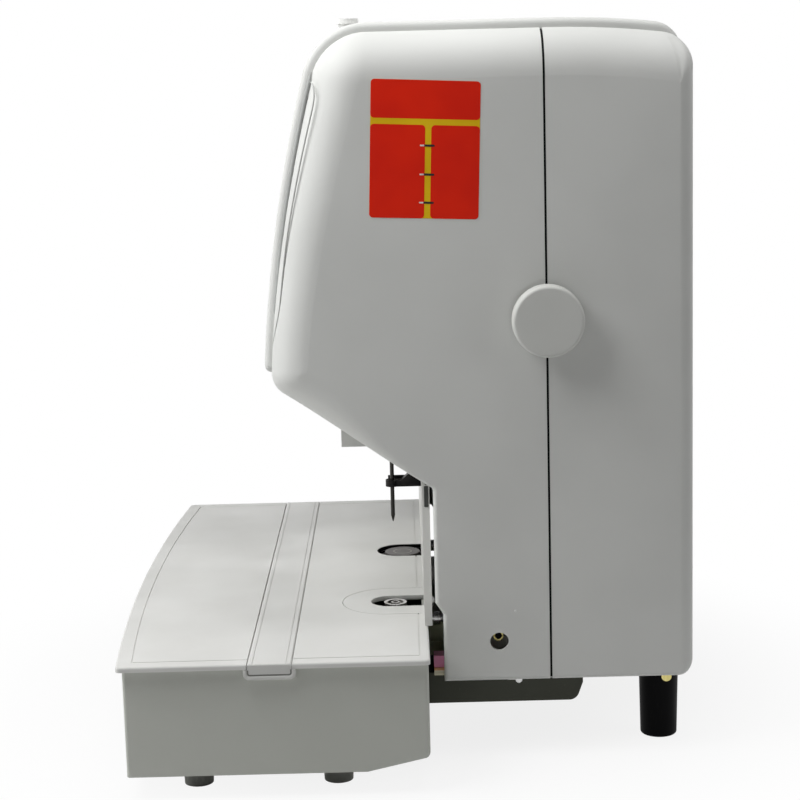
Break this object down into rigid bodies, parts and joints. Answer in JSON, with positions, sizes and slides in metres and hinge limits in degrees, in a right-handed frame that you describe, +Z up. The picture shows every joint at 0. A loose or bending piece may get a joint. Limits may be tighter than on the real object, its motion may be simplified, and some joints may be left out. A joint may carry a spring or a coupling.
{
  "type": "document riveting machine",
  "caption": "Desk machine that drills a stack of paper and rivets it with a plastic tube, with a flat table, tall head and side feed knob.",
  "frame": {"origin": "on the floor, under the middle of the bounding box", "axes": "+X to the operator's right, -Y towards the operator, +Z up"},
  "size_m": [0.4, 0.341, 0.4345],
  "materials": {
    "table_plastic": "fine-grained moulded plastic, pale grey",
    "casing_plastic": "fine-grained moulded plastic, light grey",
    "strip_aluminium": "smooth extruded strip, pale grey",
    "dark_sheet": "dark olive-grey powder coat",
    "foot_rubber": "dull black rubber",
    "black_plastic": "black moulded plastic",
    "brass": "turned brass",
    "bright_steel": "ground bright steel",
    "zinc_sheet": "zinc-plated steel plate",
    "black_sheet": "black painted sheet",
    "fence_paint": "light grey painted sheet",
    "cast_frame": "machined grey casting",
    "pad_rubber": "dark grey cutting rubber",
    "aluminium": "milled aluminium",
    "die_chrome": "polished die",
    "pink_plastic": "pink terminal strip",
    "board_laminate": "orange-brown board laminate",
    "overlay_film": "printed panel film without lettering",
    "display_glass": "dark display window",
    "led_lens": "coloured lens",
    "switch_plastic": "red rocker",
    "lamp_glass": "clear lens",
    "tool_steel": "hardened tool steel",
    "motor_steel": "drawn motor can",
    "belt_rubber": "ribbed drive belt",
    "knob_plastic": "light grey knob",
    "black_steel": "blackened steel",
    "button_green": "green key",
    "button_grey": "light key",
    "button_red": "red key"
  },
  "bodies": {
    "machine": {"base_cover": "casing_plastic", "base_floor": "dark_sheet", "brass_fittings": "brass", "chassis_pan": "dark_sheet", "chassis_plate": "zinc_sheet", "circuit_boards": "board_laminate", "connector_plate": "casing_plastic", "control_overlay": "overlay_film", "crown_die": "die_chrome", "die_block": "aluminium", "display_window": "display_glass", "feed_motor": "motor_steel", "fence_plate": "fence_paint", "frame_plates": "zinc_sheet", "front_feet": "foot_rubber", "front_shell": "casing_plastic", "guide_plates": "zinc_sheet", "guide_rods": "bright_steel", "inner_cover": "black_sheet", "lamp_lens": "lamp_glass", "lamp_pod": "casing_plastic", "lower_arm": "cast_frame", "pad_holder": "black_plastic", "pad_well": "black_plastic", "power_fittings": "black_plastic", "rear_cross_plate": "zinc_sheet", "rear_hatch": "casing_plastic", "rear_legs": "black_plastic", "rear_shell": "casing_plastic", "rivet_insert": "table_plastic", "rivet_motor": "motor_steel", "status_leds": "led_lens", "steel_fasteners": "bright_steel", "table_strip": "strip_aluminium", "table_top": "table_plastic", "terminal_block": "pink_plastic", "tube_inlet": "black_plastic"},
    "drill_head": {"drill_carriage": "cast_frame", "drill_motor": "motor_steel", "drive_belt": "belt_rubber", "feed_rack": "tool_steel"},
    "spindle": {"drill_spindle": "bright_steel", "hollow_drill": "tool_steel"},
    "motor_rotor": {"drill_motor_shaft": "bright_steel"},
    "feed_drive": {"feed_shaft": "bright_steel", "feed_gears": "tool_steel", "feed_knob": "knob_plastic"},
    "feed_motor_pinion": {"motor_gear": "tool_steel"},
    "press_head": {"press_carriage": "cast_frame", "needle_holder": "tool_steel", "rivet_needle": "tool_steel", "press_arm": "black_steel"},
    "press_screw": {"lead_screw": "bright_steel"},
    "pad": {"cutting_pad": "pad_rubber"},
    "chip_drawer": {"chip_box": "casing_plastic"},
    "power_rocker": {"switch_rocker": "switch_plastic"},
    "key_1": {"panel_button_1": "button_green"},
    "key_2": {"panel_button_2": "button_grey"},
    "key_3": {"panel_button_3": "button_grey"},
    "key_4": {"panel_button_4": "button_red"}
  },
  "joints": [
    {"name": "drill_feed", "type": "slide", "parent": "machine", "child": "drill_head", "axis": [0, 0, -1], "range_m": [0, 0.062]},
    {"name": "spindle_spin", "type": "hinge", "parent": "drill_head", "child": "spindle", "pos_m": [-0.046, -0.0055, 0.28], "axis": [0, 0, 1], "continuous": true},
    {"name": "rotor_spin", "type": "hinge", "parent": "drill_head", "child": "motor_rotor", "pos_m": [0.004, 0.008, 0.28], "axis": [0, 0, 1], "continuous": true},
    {"name": "feed_turn", "type": "hinge", "parent": "machine", "child": "feed_drive", "pos_m": [0, 0.086, 0.262], "axis": [1, 0, 0], "range_deg": [0, 300]},
    {"name": "motor_gear_turn", "type": "hinge", "parent": "machine", "child": "feed_motor_pinion", "pos_m": [0.04, 0.11599, 0.2914], "axis": [1, 0, 0], "range_deg": [-745, 0]},
    {"name": "press_feed", "type": "slide", "parent": "machine", "child": "press_head", "axis": [0, 0, -1], "range_m": [0, 0.072]},
    {"name": "screw_turn", "type": "hinge", "parent": "machine", "child": "press_screw", "pos_m": [0.079, 0.035, 0.3], "axis": [0, 0, 1], "range_deg": [0, 2600]},
    {"name": "pad_turn", "type": "hinge", "parent": "machine", "child": "pad", "pos_m": [-0.046, -0.0007, 0.077], "axis": [0, 0, 1], "continuous": true},
    {"name": "chip_drawer_slide", "type": "slide", "parent": "machine", "child": "chip_drawer", "axis": [-1, 0, 0], "range_m": [0, 0.045]},
    {"name": "power_rock", "type": "hinge", "parent": "machine", "child": "power_rocker", "pos_m": [0, 0.1634, 0.15], "axis": [1, 0, 0], "range_deg": [-10, 10]},
    {"name": "key_1_press", "type": "slide", "parent": "machine", "child": "key_1", "axis": [0, 0.9948, -0.1018], "range_m": [0, 0.0018], "stiffness_N_per_m": 200},
    {"name": "key_2_press", "type": "slide", "parent": "machine", "child": "key_2", "axis": [0, 0.9948, -0.1018], "range_m": [0, 0.0018], "stiffness_N_per_m": 200},
    {"name": "key_3_press", "type": "slide", "parent": "machine", "child": "key_3", "axis": [0, 0.9948, -0.1018], "range_m": [0, 0.0018], "stiffness_N_per_m": 200},
    {"name": "key_4_press", "type": "slide", "parent": "machine", "child": "key_4", "axis": [0, 0.9948, -0.1018], "range_m": [0, 0.0018], "stiffness_N_per_m": 200}
  ],
  "couplings": [
    {"joint": "feed_turn", "follows": "drill_feed", "rad_per_m": 83.333},
    {"joint": "motor_gear_turn", "follows": "drill_feed", "rad_per_m": -208.33},
    {"joint": "screw_turn", "follows": "press_feed", "rad_per_m": 628.32},
    {"joint": "rotor_spin", "follows": "spindle_spin", "ratio": 1.4}
  ]
}
